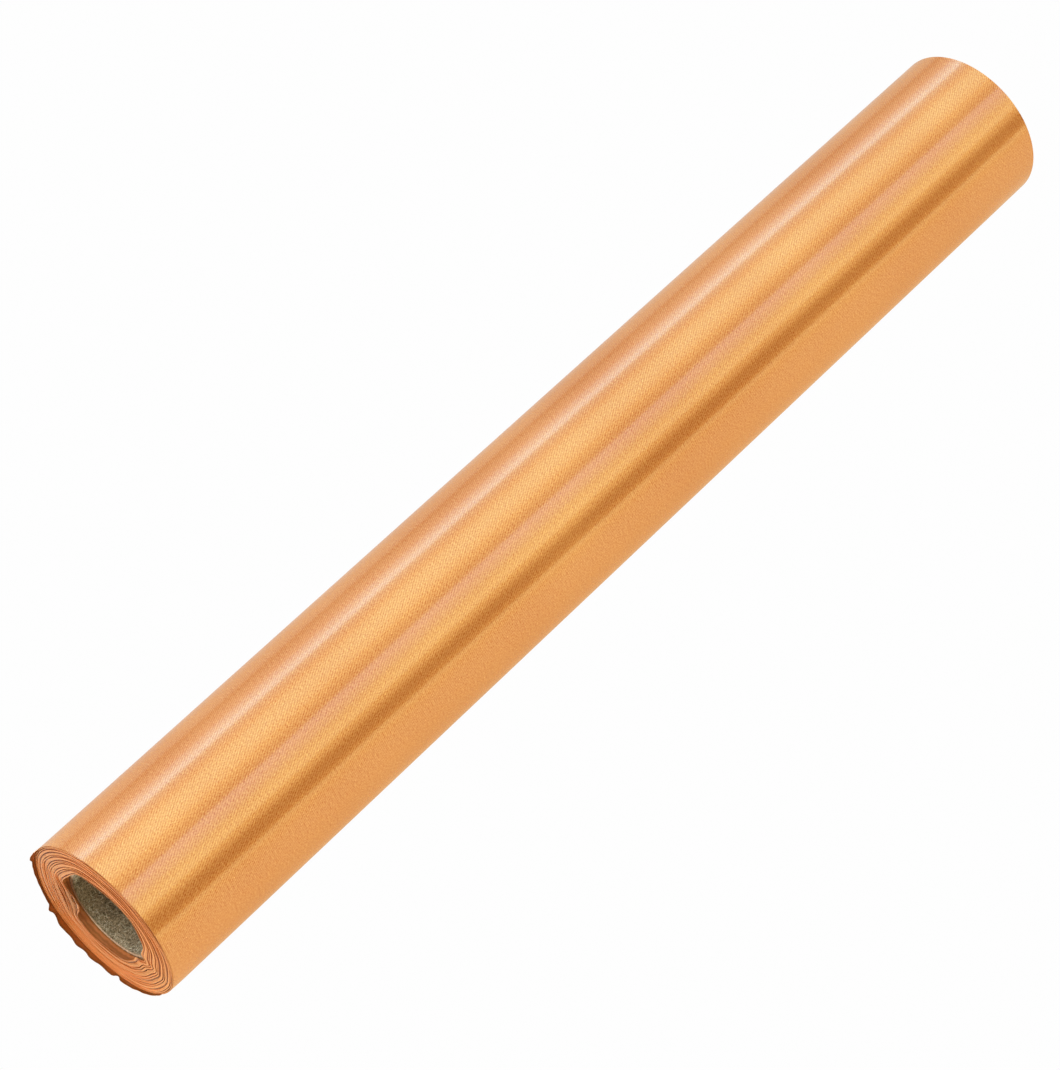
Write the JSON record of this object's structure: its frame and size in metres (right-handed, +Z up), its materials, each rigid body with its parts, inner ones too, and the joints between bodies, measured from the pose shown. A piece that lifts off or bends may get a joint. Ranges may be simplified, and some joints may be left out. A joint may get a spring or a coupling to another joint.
{
  "type": "satin fabric roll",
  "caption": "Roll of copper-coloured satin wound on a cardboard core, lying on its side, with a free end that unrolls along the underside.",
  "frame": {"origin": "centre of the core's bore, halfway along the roll", "axes": "+Y along the roll, away from the end whose last ply stands out; +Z up from the flat on which the roll lies; the free end leaves the underside towards +X"},
  "size_m": [0.0484, 0.3615, 0.0482],
  "materials": {
    "satin": "lustrous copper satin, fine diagonal weave",
    "core_paper": "raw grey-brown paper with spiral seams",
    "core_chipboard": "raw recycled chipboard",
    "adhesive_strip": "double-sided adhesive tape",
    "clear_tape": "clear adhesive film"
  },
  "bodies": {
    "roll": {"core_inner_liner": "core_paper", "core_second_ply": "core_chipboard", "core_third_ply": "core_chipboard", "core_outer_wrap": "core_paper", "start_tape": "adhesive_strip", "cloth_slack_turns": "satin", "cloth_main_winding": "satin", "cloth_outer_turn": "satin"},
    "tail_1": {"tail_strip_1": "satin"},
    "tail_2": {"tail_strip_2": "satin"},
    "tail_3": {"tail_strip_3": "satin"},
    "tail_4": {"tail_strip_4": "satin", "closing_tabs": "clear_tape"}
  },
  "joints": [
    {"name": "tail_hinge_1", "type": "hinge", "parent": "roll", "child": "tail_1", "pos_m": [0.00337, 0, -0.02401], "axis": [0, 1, 0], "range_deg": [0, 12.38]},
    {"name": "tail_hinge_2", "type": "hinge", "parent": "tail_1", "child": "tail_2", "pos_m": [0.00699, 0, -0.02322], "axis": [0, 1, 0], "range_deg": [0, 8.75]},
    {"name": "tail_hinge_3", "type": "hinge", "parent": "tail_2", "child": "tail_3", "pos_m": [0.01044, 0, -0.02189], "axis": [0, 1, 0], "range_deg": [0, 8.75]},
    {"name": "tail_hinge_4", "type": "hinge", "parent": "tail_3", "child": "tail_4", "pos_m": [0.01365, 0, -0.02004], "axis": [0, 1, 0], "range_deg": [0, 8.75]}
  ],
  "couplings": [
    {"joint": "tail_hinge_2", "follows": "tail_hinge_1", "ratio": 0.70707},
    {"joint": "tail_hinge_3", "follows": "tail_hinge_1", "ratio": 0.70707},
    {"joint": "tail_hinge_4", "follows": "tail_hinge_1", "ratio": 0.70707}
  ]
}
